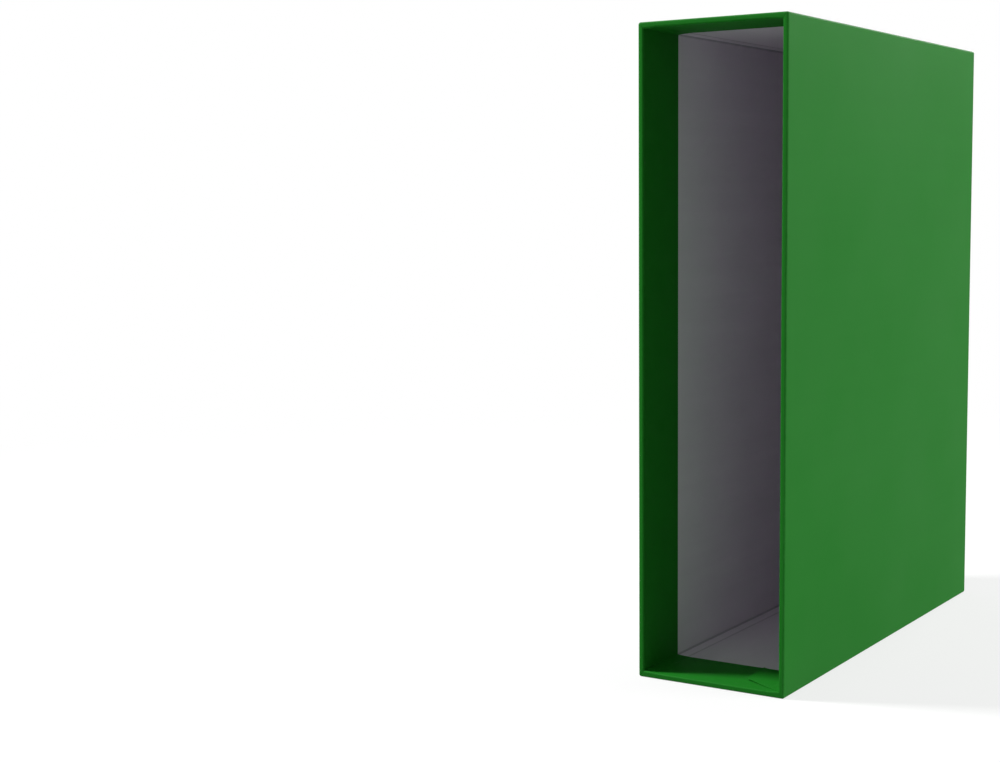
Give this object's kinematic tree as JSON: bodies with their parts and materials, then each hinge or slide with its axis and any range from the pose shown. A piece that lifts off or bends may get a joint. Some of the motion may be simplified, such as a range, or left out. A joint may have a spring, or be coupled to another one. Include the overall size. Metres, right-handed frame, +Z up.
{
  "type": "slipcase for a lever arch file",
  "caption": "Rigid board slipcase, open on one narrow side, covered in plain green paper and lined with white paper, that holds a lever arch file.",
  "frame": {"origin": "middle of the underside, on the surface that the case stands on", "axes": "+Z up; +Y from the open mouth to the closed back; +X to the right, seen from the mouth"},
  "size_m": [0.085, 0.29, 0.35],
  "materials": {
    "grey_board": "matt compact greyboard, glued and pressed",
    "green_paper": "smooth coated cover paper, satin, plain mid green",
    "white_paper": "uncoated lining paper, matt, slightly cool white"
  },
  "bodies": {
    "root": {"board_case": "grey_board", "cover_wrap": "green_paper", "back_sheet": "green_paper", "wall_lining": "white_paper", "floor_lining": "white_paper", "ceiling_lining": "white_paper"}
  },
  "joints": []
}
